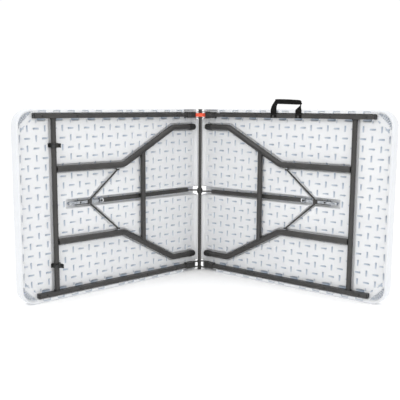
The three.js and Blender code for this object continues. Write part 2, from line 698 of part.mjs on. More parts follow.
function collarGeometry(side) {
  const near = EYE_OFFSET + EYE_T + GAP;
  const ends = [MID_Z + side * near, MID_Z + side * (near + COLLAR_T)].sort((a, b) => a - b);
  return cut(
    upright(0, AXIS_RISE, ...ends, COLLAR_R),
    upright(0, AXIS_RISE, ends[0] - 1, ends[1] + 1, BEAM_R + GAP));
}

// A block that hugs the beam from the front, between the upper hinge's ears.
function lockGeometry() {
  const z0 = WIDTH - RAIL_INSET - RAIL_W / 2;
  const z1 = z0 + LOCK_H;
  return cut(
    box(-LOCK_HALF_W, LOCK_HALF_W, AXIS_RISE - LOCK_BACK, AXIS_RISE + LOCK_FRONT, z0, z1),
    upright(0, AXIS_RISE, z0 - 1, z1 + 1, BEAM_R + GAP),
    box(-BEAM_R - GAP, BEAM_R + GAP, AXIS_RISE - LOCK_BACK - 1, AXIS_RISE, z0 - 1, z1 + 1),
    box(
      LOCK_HALF_W - LOCK_STEP, LOCK_HALF_W + 1,
      AXIS_RISE + LOCK_FRONT - LOCK_STEP_DEPTH, AXIS_RISE + LOCK_FRONT + 1, z0 - 1, z1 + 1));
}

// ---- assembly -----------------------------------------------------------------------------
function mirrored(geometry) {
  const flipped = geometry.index ? geometry.toNonIndexed() : geometry.clone();
  const position = flipped.getAttribute('position');
  const corner = (i) => new THREE.Vector3().fromBufferAttribute(position, i);
  for (let i = 0; i < position.count; i += 3) {
    const [a, b, c] = [corner(i), corner(i + 1), corner(i + 2)];
    [a, c, b].forEach((point, k) => position.setXYZ(i + k, -point.x, point.y, point.z));
  }
  flipped.computeVertexNormals();
  return flipped;
}

const table = new THREE.Group();
const halves = { right: new THREE.Group(), left: new THREE.Group() };
halves.right.rotation.z = THREE.MathUtils.degToRad(-HALF_ANGLE_DEG);
halves.left.rotation.z = THREE.MathUtils.degToRad(HALF_ANGLE_DEG);
table.add(halves.right, halves.left);

function addMesh(group, name, geometry, surface) {
  const mesh = new THREE.Mesh(geometry, surface);
  mesh.name = name;
  group.add(mesh);
}

function addToHalf(half, name, geometry, surface) {
  addMesh(halves[half], `${name}_${half}`, half === 'left' ? mirrored(geometry) : geometry, surface);
}

const ENDS = [['top', 1], ['bottom', -1]];

for (const half of ['right', 'left']) {
  const outerLayer = half === 'right';
  addToHalf(half, 'panel', panelGeometry(), PANEL_PLASTIC());
  addToHalf(half, 'pivot_tube', pivotTubeGeometry(), DARK_STEEL());
  addToHalf(half, 'crossbar', crossbarGeometry(), DARK_STEEL());
  addToHalf(half, 'brace_tube', braceTubeGeometry(outerLayer ? -1 : 1), DARK_STEEL());
  addToHalf(half, 'brace_channel', channelGeometry(), ZINC());
  addToHalf(half, 'wishbone', wishboneGeometry(), DARK_STEEL());
  addToHalf(half, 'elbow_pin', elbowPinGeometry(), ZINC());
  addToHalf(half, 'lock_ring', ringGeometry(), ZINC());
  for (const [end, side] of ENDS) {
    const railZ = MID_Z + side * (MID_Z - RAIL_INSET);
    addToHalf(half, `rail_${end}`, railGeometry(railZ, -side), DARK_STEEL());
    addToHalf(half, `rail_plug_${end}`, plugGeometry(railZ), BLACK_PLASTIC());
    addToHalf(half, `hinge_bracket_${end}`, bracketGeometry(railZ, outerLayer), DARK_STEEL());
    addToHalf(half, `leg_tube_${end}`, tube(legCorners(side), LEG_R, TUBE_WALL), DARK_STEEL());
    addToHalf(half, `foot_cap_${end}`, footCapGeometry(side), BLACK_PLASTIC());
    addToHalf(half, `pivot_bush_${end}`, bushGeometry(side), BLACK_PLASTIC());
    addToHalf(half, `arm_rivet_${end}`, armPinGeometry(side), ZINC());
  }
}

ENDS.forEach(([end], i) => {
  addToHalf('left', `snap_clip_${end}`, clipGeometry(CLIP_OFFSETS_Z[i]), BLACK_PLASTIC());
});
['inner', 'outer'].forEach((end, i) => {
  addToHalf('right', `handle_tab_${end}`, strapTabGeometry(STRAP_FOOT_X[i]), WEBBING());
  addToHalf('right', `handle_rivet_${end}`, rivetGeometry(STRAP_FOOT_X[i]), DARK_STEEL());
});
addToHalf('right', 'handle_loop', strapLoopGeometry(), WEBBING());

addMesh(table, 'centre_beam', beamGeometry(), DARK_STEEL());
addMesh(table, 'hinge_lock', lockGeometry(), ORANGE_PLASTIC());
for (const [end, side] of ENDS) {
  addMesh(table, `beam_cap_${end}`, beamCapGeometry(side), BLACK_PLASTIC());
  addMesh(table, `beam_collar_${end}`, collarGeometry(side), DARK_STEEL());
}

// The fold axis stands behind the middle of the V's footprint.
const footprint = new THREE.Box3().setFromObject(table, true).getCenter(new THREE.Vector3());
table.position.y = -footprint.y;

export default table;
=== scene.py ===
import json
import math

import bmesh
import bpy
import numpy as np
from mathutils import Matrix, Vector

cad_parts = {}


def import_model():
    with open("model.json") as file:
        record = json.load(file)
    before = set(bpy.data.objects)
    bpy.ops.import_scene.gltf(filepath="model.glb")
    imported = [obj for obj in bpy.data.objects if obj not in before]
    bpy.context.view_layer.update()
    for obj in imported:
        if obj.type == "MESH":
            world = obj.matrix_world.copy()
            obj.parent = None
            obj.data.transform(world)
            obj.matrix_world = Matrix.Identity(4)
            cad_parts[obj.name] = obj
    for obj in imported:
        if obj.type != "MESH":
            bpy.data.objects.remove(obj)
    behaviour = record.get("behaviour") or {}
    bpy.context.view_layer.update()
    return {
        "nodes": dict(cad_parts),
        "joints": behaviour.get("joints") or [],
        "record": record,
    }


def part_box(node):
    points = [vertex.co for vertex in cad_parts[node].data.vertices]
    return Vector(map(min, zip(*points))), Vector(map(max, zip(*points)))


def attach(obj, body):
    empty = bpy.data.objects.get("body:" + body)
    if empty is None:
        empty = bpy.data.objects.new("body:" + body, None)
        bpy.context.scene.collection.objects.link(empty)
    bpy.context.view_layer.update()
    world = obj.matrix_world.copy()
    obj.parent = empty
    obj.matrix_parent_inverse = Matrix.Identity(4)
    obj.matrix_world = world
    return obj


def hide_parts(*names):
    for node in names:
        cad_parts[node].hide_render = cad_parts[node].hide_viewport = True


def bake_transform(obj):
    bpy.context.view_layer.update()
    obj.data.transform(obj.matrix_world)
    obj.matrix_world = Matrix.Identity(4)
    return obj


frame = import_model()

# ---- the frame's own numbers --------------------------------------------------------------
JOINTS = {joint["name"]: joint for joint in frame["joints"]}
AXIS_Y = JOINTS["fold_right"]["pos_m"][1]
ALONG = JOINTS["ring_right_slide"]["axis"]
COS_A, SIN_A = ALONG[0], -ALONG[1]
SIDES = {"right": 1, "left": -1}
MM = 0.001

# Sizes in a half's own frame, in millimetres: s runs outwards from the fold axis, z is up, and
# "rise" is measured out of the underside from the plane of the panel's rim.
AXIS_RISE = 4.0
HALF_LENGTH = 900.0
WIDTH = 740.0
MID_Z = WIDTH / 2
SEAM_S = 1.0               # where a panel starts, beside the fold axis
TOP_RISE = -45.0           # the table's top surface
DECK_RISE = -20.0          # the sunk underside between the rims
OUTER_R = 65.0             # corner radius at the table's end
SEAM_R = 6.0               # corner radius at the seam
SEAM_GAP = 15.0            # the seam lip starts this far from the brace eyes' middle
SEAM_CLEAR = 44.0          # and ends this far from the table's long edges
SEAM_LIP_WIDTH = (8.0, 10.5)
SEAM_LIP_RISE = -6.0
RAIL_Z = (27.0, WIDTH - 27.0)
PIVOT_S = 741.0
LEG_NEAR, LEG_WIDE = 142.0, 290.0        # a leg's offset from MID_Z, at the pivot and at the foot
LEG_BEND_OUT, LEG_BEND_IN = 416.0, 149.0
LEG_FOOT_S = 36.0
LEG_R = 12.5
CROSSBAR_S = 317.0
CROSSBAR_RISE = -8.0
TUBE_RISE = -10.0
BEAD_TOP_RISE = 2.4        # keeps the weld beads clear of the other half when closed
BRACE_RISE = -30.0
RING_S = 521.0
ELBOW_S = 637.0


def world(half, s, rise, z):
    """A point of a half's own frame, in the row frame, in metres."""
    y = AXIS_RISE - rise
    x = SIDES[half] * (s * COS_A + y * SIN_A)
    return Vector((x * MM, AXIS_Y + (y * COS_A - s * SIN_A) * MM, z * MM))


def world_array(half, s, rise, z):
    """The same for arrays, as one row of [x, y, z] per point."""
    y = AXIS_RISE - rise
    x = SIDES[half] * (s * COS_A + y * SIN_A)
    return np.stack([x * MM, AXIS_Y + (y * COS_A - s * SIN_A) * MM, z * MM], axis=-1)


def smooth(low, high, value):
    """A smooth step from 0 at low to 1 at high."""
    t = np.clip((value - low) / (high - low), 0.0, 1.0)
    return t * t * (3.0 - 2.0 * t)


# ---- node materials -----------------------------------------------------------------------
class Nodes:
    """A material and short calls for the nodes that it needs."""

    def __init__(self, name, color, roughness, metallic=0.0, **sockets):
        self.material = bpy.data.materials.new(name)
        self.material.use_nodes = True
        self.tree = self.material.node_tree
        self.shader = self.tree.nodes["Principled BSDF"]
        self.set("Base Color", (*color, 1.0))
        self.set("Roughness", roughness)
        self.set("Metallic", metallic)
        for key, value in sockets.items():
            self.set(key.replace("_", " "), value)
        self.coordinates = self.tree.nodes.new("ShaderNodeTexCoord").outputs["Object"]

    def set(self, socket, value):
        self.shader.inputs[socket].default_value = value

    def link(self, source, target):
        self.tree.links.new(source, target)

    def noise(self, scale, detail=3.0, roughness=0.55):
        node = self.tree.nodes.new("ShaderNodeTexNoise")
        node.inputs["Scale"].default_value = scale
        node.inputs["Detail"].default_value = detail
        node.inputs["Roughness"].default_value = roughness
        self.link(self.coordinates, node.inputs["Vector"])
        return node.outputs["Fac"]

    def ramp(self, source, low, high, low_value, high_value):
        node = self.tree.nodes.new("ShaderNodeMapRange")
        node.inputs["From Min"].default_value = low
        node.inputs["From Max"].default_value = high
        node.inputs["To Min"].default_value = low_value
        node.inputs["To Max"].default_value = high_value
        self.link(source, node.inputs["Value"])
        return node.outputs["Result"]

    def mix(self, factor, first, second):
        node = self.tree.nodes.new("ShaderNodeMix")
        node.data_type = "RGBA"
        self.link(factor, node.inputs["Factor"])
        for socket, value in ((node.inputs[6], first), (node.inputs[7], second)):
            if isinstance(value, tuple):
                socket.default_value = (*value, 1.0)
            else:
                self.link(value, socket)
        return node.outputs[2]

    def math(self, operation, first, second):
        node = self.tree.nodes.new("ShaderNodeMath")
        node.operation = operation
        for socket, value in ((node.inputs[0], first), (node.inputs[1], second)):
            if isinstance(value, (int, float)):
                socket.default_value = value
            else:
                self.link(value, socket)
        return node.outputs[0]

    def bump(self, height, strength, distance):
        node = self.tree.nodes.new("ShaderNodeBump")
        node.inputs["Strength"].default_value = strength
        node.inputs["Distance"].default_value = distance
        self.link(height, node.inputs["Height"])
        previous = self.shader.inputs["Normal"].links
        if previous:
            self.link(previous[0].from_socket, node.inputs["Normal"])
        self.link(node.outputs["Normal"], self.shader.inputs["Normal"])

    def to(self, source, socket):
        self.link(source, self.shader.inputs[socket])


def panel_plastic():
    m = Nodes(
        "moulded_polyethylene", (0.78, 0.79, 0.80), 0.42,
        Coat_Weight=0.08, Coat_Roughness=0.35)
    m.set("Subsurface Weight", 0.12)
    m.set("Subsurface Radius", (0.004, 0.004, 0.005))
    m.set("Subsurface Scale", 0.6)
    painted_shade = m.tree.nodes.new("ShaderNodeAttribute")
    painted_shade.attribute_name = "painted_shade"
    cloudy = m.ramp(m.noise(7.0, 4.0), 0.35, 0.7, 0.0, 1.0)
    white = m.mix(cloudy, (0.745, 0.755, 0.765), (0.71, 0.72, 0.735))
    scuffs = m.ramp(m.noise(60.0, 5.0, 0.7), 0.62, 0.74, 0.0, 0.25)
    white = m.mix(scuffs, white, (0.66, 0.67, 0.69))
    # painted shade: the attribute leans the white towards a blue-grey in the pits, on the side
    # wall and on the rims
    m.to(m.mix(painted_shade.outputs["Fac"], white, (0.36, 0.43, 0.52)), "Base Color")
    m.to(m.ramp(m.noise(18.0, 3.0), 0.3, 0.7, 0.36, 0.5), "Roughness")
    m.bump(m.noise(420.0, 2.0), 0.22, 0.0006)
    m.bump(m.noise(55.0, 2.0), 0.12, 0.0015)
    return m.material


def powder_coat():
    m = Nodes(
        "grey_powder_coat", (0.040, 0.039, 0.037), 0.42, 0.25,
        Coat_Weight=0.14, Coat_Roughness=0.3)
    patches = m.ramp(m.noise(14.0, 3.0), 0.3, 0.7, 0.0, 1.0)
    m.to(m.mix(patches, (0.030, 0.029, 0.028), (0.048, 0.046, 0.044)), "Base Color")
    m.to(m.ramp(m.noise(30.0, 4.0), 0.3, 0.7, 0.33, 0.48), "Roughness")
    m.bump(m.noise(900.0, 2.0), 0.3, 0.0003)
    return m.material


def zinc():
    m = Nodes("zinc_plate", (0.40, 0.42, 0.44), 0.32, 1.0)
    spangle = m.ramp(m.noise(120.0, 3.0), 0.35, 0.65, 0.0, 1.0)
    m.to(m.mix(spangle, (0.30, 0.32, 0.35), (0.50, 0.52, 0.54)), "Base Color")
    m.to(m.ramp(m.noise(80.0, 4.0), 0.3, 0.7, 0.24, 0.42), "Roughness")
    m.bump(m.noise(700.0, 3.0), 0.2, 0.0002)
    return m.material


def bright_zinc():
    m = Nodes("bright_zinc", (0.72, 0.74, 0.75), 0.22, 1.0)
    spangle = m.ramp(m.noise(160.0, 3.0), 0.35, 0.65, 0.0, 1.0)
    m.to(m.mix(spangle, (0.62, 0.64, 0.66), (0.82, 0.83, 0.84)), "Base Color")
    m.to(m.ramp(m.noise(90.0, 4.0), 0.3, 0.7, 0.16, 0.32), "Roughness")
    return m.material


def black_plastic():
    m = Nodes("black_plastic", (0.012, 0.012, 0.012), 0.42)
    worn = m.ramp(m.noise(40.0, 5.0, 0.7), 0.5, 0.75, 0.0, 1.0)
    m.to(m.mix(worn, (0.010, 0.010, 0.010), (0.026, 0.026, 0.025)), "Base Color")
    m.to(m.ramp(m.noise(60.0, 3.0), 0.3, 0.7, 0.34, 0.55), "Roughness")
    m.bump(m.noise(1100.0, 2.0), 0.25, 0.0003)
    return m.material


def orange_plastic():
    m = Nodes("orange_plastic", (0.82, 0.075, 0.022), 0.36, Coat_Weight=0.15, Coat_Roughness=0.25)
    m.set("Subsurface Weight", 0.1)
    m.set("Subsurface Radius", (0.004, 0.001, 0.0005))
    worn = m.ramp(m.noise(50.0, 4.0), 0.4, 0.7, 0.0, 1.0)
    m.to(m.mix(worn, (0.80, 0.068, 0.02), (0.88, 0.12, 0.045)), "Base Color")
    m.bump(m.noise(500.0, 2.0), 0.15, 0.0003)
    return m.material


def webbing():
    m = Nodes("black_webbing", (0.006, 0.005, 0.005), 0.92, Specular_IOR_Level=0.2)
    uv = m.tree.nodes.new("ShaderNodeUVMap")
    uv.uv_map = "weave"
    waves = []
    for direction in ("X", "Y"):
        wave = m.tree.nodes.new("ShaderNodeTexWave")
        wave.bands_direction = direction
        wave.inputs["Scale"].default_value = 0.32
        wave.inputs["Distortion"].default_value = 0.6
        m.link(uv.outputs["UV"], wave.inputs["Vector"])
        waves.append(wave.outputs["Fac"])
    weave = m.math("MULTIPLY", waves[0], waves[1])
    m.to(m.mix(weave, (0.004, 0.0035, 0.0035), (0.013, 0.012, 0.011)), "Base Color")
    m.bump(weave, 0.8, 0.0006)
    m.bump(m.noise(1500.0, 2.0), 0.3, 0.0002)
    return m.material


def thread():
    m = Nodes("black_thread", (0.03, 0.03, 0.03), 0.7)
    m.bump(m.noise(2500.0, 2.0), 0.4, 0.0001)
    m.to(m.ramp(m.noise(900.0, 2.0), 0.3, 0.7, 0.6, 0.8), "Roughness")
    return m.material


def floor_paint():
    m = Nodes("pale_floor", (0.96, 0.96, 0.96), 0.7, Emission_Color=(1.0, 1.0, 1.0, 1.0))
    m.set("Emission Strength", 0.12)
    m.to(m.ramp(m.noise(3.0, 3.0), 0.3, 0.7, 0.55, 0.65), "Roughness")
    return m.material


MATERIALS = {
    "panel_plastic": panel_plastic(),
    "dark_steel": powder_coat(),
    "zinc": zinc(),
    "bright_zinc": bright_zinc(),
    "black_plastic": black_plastic(),
    "orange_plastic": orange_plastic(),
    "webbing": webbing(),
    "thread": thread(),
}


# ---- mesh helpers -------------------------------------------------------------------------
SHARP_ANGLE = 32           # degrees; steeper edges stay crisp on the lock and the CAD nodes


def new_object(name, points, faces, material, body):
    mesh = bpy.data.meshes.new(name)
    mesh.from_pydata([tuple(p) for p in points], [], faces)
    mesh.update()
    mesh.polygons.foreach_set("use_smooth", [True] * len(mesh.polygons))
    obj = bpy.data.objects.new(name, mesh)
    bpy.context.scene.collection.objects.link(obj)
    mesh.materials.append(MATERIALS[material])
    if body:
        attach(obj, body)
    return obj


def axes(half, direction):
    """Unit vectors in the row frame: along a local [s, rise, z] direction, and two across."""
    forward = (world(half, *direction) - world(half, 0, 0, 0)).normalized()
    up = Vector((0, 0, 1)) if abs(forward.z) < 0.9 else Vector((0, 1, 0))
    side = forward.cross(up).normalized()
    return forward, side, side.cross(forward).normalized()


def lathe(name, half, centre, direction, profile, material, body, sides=28):
    """A closed turned piece. The profile holds [distance along direction, radius] in mm, and flat
    faces close its two ends."""
    origin = world(half, *centre)
    forward, side, up = axes(half, direction)
    points, faces = [], []
    for along, radius in profile:
        for i in range(sides):
            a = 2 * math.pi * i / sides
            offset = side * math.cos(a) + up * math.sin(a)
            points.append(origin + forward * along * MM + offset * radius * MM)
    for ring in range(len(profile) - 1):
        for i in range(sides):
            j = (i + 1) % sides
            a, b = ring * sides, (ring + 1) * sides
            faces.append((a + i, b + i, b + j, a + j))
    faces.append(tuple(range(sides)))
    last = (len(profile) - 1) * sides
    faces.append(tuple(reversed(range(last, last + sides))))
    obj = new_object(name, points, faces, material, body)
    fix_normals(obj)


def fix_normals(obj, angle=35.0):
    """Turns the faces outwards, and keeps edges sharper than angle (degrees) crisp."""
    work = bmesh.new()
    work.from_mesh(obj.data)
    bmesh.ops.recalc_face_normals(work, faces=work.faces)
    work.to_mesh(obj.data)
    work.free()
    obj.data.set_sharp_from_angle(angle=math.radians(angle))


def loft(rings):
    """Points and faces of a closed solid through rings of the same number of points."""
    count = len(rings[0])
    points = [p for ring in rings for p in ring]
    faces = []
    for r in range(len(rings) - 1):
        for i in range(count):
            j = (i + 1) % count
            faces.append((r * count + i, r * count + j, (r + 1) * count + j, (r + 1) * count + i))
    faces.append(tuple(reversed(range(count))))
    last = (len(rings) - 1) * count
    faces.append(tuple(range(last, last + count)))
    return points, faces


# ---- the moulded panels -------------------------------------------------------------------
STEP = 2.2                 # grid step of the underside
EDGE = 3.0                 # the grid stops this far inside the outline; the wall rounds over it
SIDE_RIM = 14.0            # width of the rims along the long edges
DECK_END_S, DECK_CORNER_R = 882.0, 47.0
LIP_END_S, LIP_CORNER_R, LIP_INSET, LIP_RISE = 889.0, 54.0, 8.0, -4.5
BEFORE_SEAM_S = -80.0      # the deck's outline runs on past the seam, so it has no rim there
TOOTH_S = (119.0, 189.0, 259.0, 329.0, 391.0, 438.0, 541.0, 603.0, 666.0, 729.0, 791.0)
TOOTH_HALF, TOOTH_RISE = 15.0, -5.5
TOP_EDGE_R = 7.0
WALL_SHADE_PAINT = 0.12           # painted shade: how far the side wall and the rim lean to the pits' blue-grey
RIM_SHADE_PAINT = 0.05
CORNER_R, CORNER_CHORD, CORNER_RISE = 54.0, 31.0, -25.0
CORNER_RIBS, CORNER_RIB_HEIGHT = (15, 27, 39, 51, 63, 75), 8.0
PITCH = 37.1               # lattice of the pits
FIRST_COLUMN = 102.0
COLUMNS = range(-2, 22)
SEAM_COLUMN, END_COLUMN = COLUMNS[0], COLUMNS[-1]
ROWS = range(-9, 10)
EDGE_ROW = ROWS[-1]
DIMPLE_HALF = 9.5
DIMPLE_START_R, DIMPLE_R = 3.3, 3.9
DIMPLE_DEPTH = 6.0


def rounded_sd(s, z, s0, s1, z0, z1, radius):
    """Signed distance to a rounded rectangle, negative inside."""
    cs, cz = (s0 + s1) / 2, (z0 + z1) / 2
    qs = np.abs(s - cs) - (s1 - s0) / 2 + radius
    qz = np.abs(z - cz) - (z1 - z0) / 2 + radius
    outside = np.hypot(np.maximum(qs, 0), np.maximum(qz, 0))
    return outside + np.minimum(np.maximum(qs, qz), 0) - radius


def drop(s, z, start, end):
    """Distance to the segment from start to end, and the share of its length that was passed."""
    ds, dz = end[0] - start[0], end[1] - start[1]
    length = ds * ds + dz * dz
    t = np.clip(((s - start[0]) * ds + (z - start[1]) * dz) / length, 0, 1)
    return np.hypot(s - start[0] - t * ds, z - start[1] - t * dz), t


def leg_line(side):
    """A leg's centre line, from its foot to its pivot tube."""
    return [
        (LEG_FOOT_S, MID_Z + side * LEG_WIDE), (LEG_BEND_IN, MID_Z + side * LEG_WIDE),
        (LEG_BEND_OUT, MID_Z + side * LEG_NEAR), (PIVOT_S - 10, MID_Z + side * LEG_NEAR),
    ]


def leg_distance(s, z):
    """Distance to the nearer leg's centre line."""
    best = np.full(np.shape(s), 1e9)
    for side in (-1, 1):
        line = leg_line(side)
        for a, b in zip(line, line[1:]):
            best = np.minimum(best, drop(s, z, a, b)[0])
    return best


def wishbone_distance(s, z):
    """Distance to the nearer rod of the wishbone."""
    best = np.full(np.shape(s), 1e9)
    for side in (-1, 1):
        best = np.minimum(best, drop(
            s, z, (577, MID_Z + side * 5.4), (466, MID_Z + side * 105.7))[0])
    return best


def dimples():
    """Drop-shaped pits as (start, end, start radius, end radius, depth, strength of the painted
    shade in the pit).
    """
    pits = []
    half = DIMPLE_HALF
    plain = (DIMPLE_START_R, DIMPLE_R, DIMPLE_DEPTH, 1.0)
    for k in COLUMNS:
        for j in ROWS:
            s, z = FIRST_COLUMN + PITCH * k, MID_Z + PITCH * j
            upright = (k + j) % 2 == 0
            outward = 1 if j >= 0 else -1
            if k == SEAM_COLUMN and upright and j:
                pits.append(((29.0, z - 10), (29.0, z + 10), 5.5, 5.5, 4.5, 0.42))
            elif k == SEAM_COLUMN:
                pits.append(((32.0, z), (46.0, z), 3.2, 4.2, 4.5, 0.6))
            elif abs(j) == EDGE_ROW and upright and k < END_COLUMN - 1:
                inner = MID_Z + (PITCH * EDGE_ROW - 6) * outward
                pits.append(((s, inner - 8 * outward), (s, inner), 2.6, 3.2, 5.0, 0.8))
            elif abs(j) == EDGE_ROW:
                if 0 <= k < END_COLUMN - 1:
                    beside = z - 2.5 * outward
                    pits.append(((s + 3, beside), (s + 27, beside), 6.4, 6.4, 7.5, 1.0))
            elif k == END_COLUMN and upright:
                pits.append(((878.0, z - 11), (878.0, z + 11), 3.6, 4.2, 8.0, 1.0))
            elif k == END_COLUMN:
                pits.append(((860.0, z), (874.0, z), 3.0, 3.6, 5.0, 0.9))
            elif upright:
                pits.append(((s, z - half), (s, z + half), *plain))
            else:
                pits.append(((s - half, z), (s + half, z), *plain))
    for side in (-1, 1):
        corner = MID_Z + side * 326
        pits.append(((828.0, corner + side * 3), (834.0, corner - side * 3), 2.4, 3.4, 5.0, 0.9))
        pits.append(((856.0, corner - side * 20), (872.0, corner - side * 38), 2.4, 3.2, 5.0, 0.9))
    return pits


def deck_heights(s, z):
    """The underside's rise at every grid point, and how much painted shade each point gets, most
    in the pits.
    """
    pocket = rounded_sd(
        s, z, BEFORE_SEAM_S, DECK_END_S, SIDE_RIM, WIDTH - SIDE_RIM, DECK_CORNER_R)
    step = rounded_sd(
        s, z, BEFORE_SEAM_S, LIP_END_S, LIP_INSET, WIDTH - LIP_INSET, LIP_CORNER_R)
    rise = DECK_RISE * (1 - smooth(-3.0, 0.4, pocket))
    lip = LIP_RISE * (1 - smooth(-1.2, 1.2, step)) * smooth(790, 815, s)
    rise = np.minimum(rise, lip)
    painted_shade = np.zeros_like(rise)

    # a lip along the seam, left out beside the brace eyes and the hinge brackets
    along = smooth(SEAM_GAP, SEAM_GAP + 3, np.abs(z - MID_Z))
    along *= smooth(SEAM_CLEAR, SEAM_CLEAR + 3, z) * smooth(SEAM_CLEAR, SEAM_CLEAR + 3, WIDTH - z)
    share = along * (1 - smooth(*SEAM_LIP_WIDTH, s))
    rise = np.maximum(rise, DECK_RISE + (SEAM_LIP_RISE - DECK_RISE) * share)

    for near in (z, WIDTH - z):
        # notches in the side rims for the hinge saddles
        notched = near < SIDE_RIM + 4
        cover = (1 - smooth(90.0, 94.0, s)) * notched * smooth(2.4, 3.6, near)
        opened = (1 - smooth(16.5, 18.5, s)) * notched
        share = np.maximum(cover, opened)
        rise = np.minimum(rise, rise * (1 - share) + DECK_RISE * share)
        # short recesses in the inner face of the side rims, with painted shade along their
        # outlines
        for centre in TOOTH_S:
            tooth = rounded_sd(
                s, near, centre - TOOTH_HALF, centre + TOOTH_HALF, 6.0, 22.0, 3.0)
            cut = TOOTH_RISE * (1 - smooth(-1.6, 0.4, tooth))
            rise = np.where(near < SIDE_RIM, np.minimum(rise, cut), rise)
            # painted shade on a thin band along each recess's outline
            outline = (1 - smooth(0.6, 2.0, np.abs(tooth + 0.8))) * (near < SIDE_RIM + 2)
            painted_shade = np.maximum(painted_shade, 0.85 * outline)

    # half-moon recesses with radial ribs in the outer corners
    for corner_z, sign in ((WIDTH - OUTER_R, 1), (OUTER_R, -1)):
        ds, dz = s - (HALF_LENGTH - OUTER_R), (z - corner_z) * sign
        radius = np.hypot(ds, dz)
        chord = (ds + dz) / math.sqrt(2)
        inside = smooth(0.0, 2.5, np.minimum(CORNER_R - radius, chord - CORNER_CHORD))
        angle = np.degrees(np.arctan2(dz, ds))
        ribs = np.zeros_like(rise)
        for rib in CORNER_RIBS:
            across = radius * np.abs(np.radians(angle - rib))
            ribs = np.maximum(ribs, 1 - smooth(1.0, 2.4, across))
        rise = rise * (1 - inside) + (CORNER_RISE + CORNER_RIB_HEIGHT * ribs) * inside
        # painted shade in the half-moon recesses, lighter on the raised ribs
        painted_shade = np.maximum(painted_shade, inside * (0.5 - 0.32 * ribs))

    # clearance grooves for the legs, the wishbone, the pivot tube and the brace
    def press(distance, half_width, bottom):
        nonlocal rise
        far = half_width + 1.2
        depth = bottom + (DECK_RISE - bottom) * smooth(half_width - 2.0, far, distance)
        rise = np.where(distance < far, np.minimum(rise, depth), rise)

    press(leg_distance(s, z), 15.8, -25.0)
    press(wishbone_distance(s, z), 8.5, -27.0)
    press(wishbone_distance(s, z) + 40 * smooth(515, 500, s), 7.5, -31.0)
    press(np.where(np.abs(z - MID_Z) < MID_Z - 35.5, np.abs(s - PIVOT_S), 99), 14.5, -24.0)
    press(np.maximum(np.abs(z - MID_Z), s - 667.0), 18.0, -41.8)

    for start, end, first, last, depth, pit_shade in dimples():
        pad = max(first, last) + 2
        near = ((s > min(start[0], end[0]) - pad) & (s < max(start[0], end[0]) + pad)
                & (z > min(start[1], end[1]) - pad) & (z < max(start[1], end[1]) + pad))
        if not near.any():
            continue
        d, along = drop(s[near], z[near], start, end)
        radius = first + (last - first) * along
        pressed = (1 - smooth(-2.6, 0.6, d - radius)) * (0.6 + 0.4 * along)
        rise[near] = np.minimum(rise[near], DECK_RISE - depth * pressed)
        # painted shade inside each pit, stronger towards its deeper end
        shade = pit_shade * (1 - smooth(-1.6, 0.2, d - radius)) * (0.75 + 0.25 * along)
        painted_shade[near] = np.maximum(painted_shade[near], shade)
    # painted shade: the raised rims lean a little to the pits' blue-grey
    painted_shade = np.maximum(painted_shade, np.where(rise > -3.0, RIM_SHADE_PAINT, 0.0))
    return rise, painted_shade


def outline_normal(s, z):
    """The outward normal of the panel's outline at its points."""
    centre_s = np.clip(s, SEAM_S + SEAM_R, HALF_LENGTH - OUTER_R)
    centre_z = np.clip(z, OUTER_R, WIDTH - OUTER_R)
    at_seam = s < SEAM_S + SEAM_R + 1
    centre_z = np.where(at_seam, np.clip(z, SEAM_R, WIDTH - SEAM_R), centre_z)
    on_side = (s >= SEAM_S + SEAM_R) & (s <= HALF_LENGTH - OUTER_R)
    centre_z = np.where(on_side, np.clip(z, SEAM_R, WIDTH - SEAM_R), centre_z)
    ns, nz = s - centre_s, z - centre_z
    length = np.maximum(np.hypot(ns, nz), 1e-6)
    return ns / length, nz / length


def snap_to_outline(s, z):
    """Moves grid points that lie outside the inset outline onto it."""
    outside = np.zeros(s.shape, bool)
    corners = [
        (HALF_LENGTH - OUTER_R, WIDTH - OUTER_R, 1, 1, OUTER_R - EDGE),
        (HALF_LENGTH - OUTER_R, OUTER_R, 1, -1, OUTER_R - EDGE),
        (SEAM_S + SEAM_R, WIDTH - SEAM_R, -1, 1, SEAM_R - EDGE),
        (SEAM_S + SEAM_R, SEAM_R, -1, -1, SEAM_R - EDGE),
    ]
    for cs, cz, sign_s, sign_z, radius in corners:
        ds, dz = s - cs, z - cz
        distance = np.hypot(ds, dz)
        beyond = (ds * sign_s > 0) & (dz * sign_z > 0) & (distance > radius)
        scale = np.where(beyond, radius / np.maximum(distance, 1e-9), 1.0)
        s, z = cs + ds * scale, cz + dz * scale
        outside |= beyond
    return s, z, outside


def boundary_loop(faces):
    """The single ordered loop of boundary vertices of a patch of quads."""
    edges = np.concatenate([faces[:, [i, (i + 1) % 4]] for i in range(4)])
    keys = set(map(tuple, edges.tolist()))
    onward = {a: b for a, b in keys if (b, a) not in keys}
    first = next(iter(onward))
    loop = [first]
    while onward[loop[-1]] != first:
        loop.append(onward[loop[-1]])
    return loop


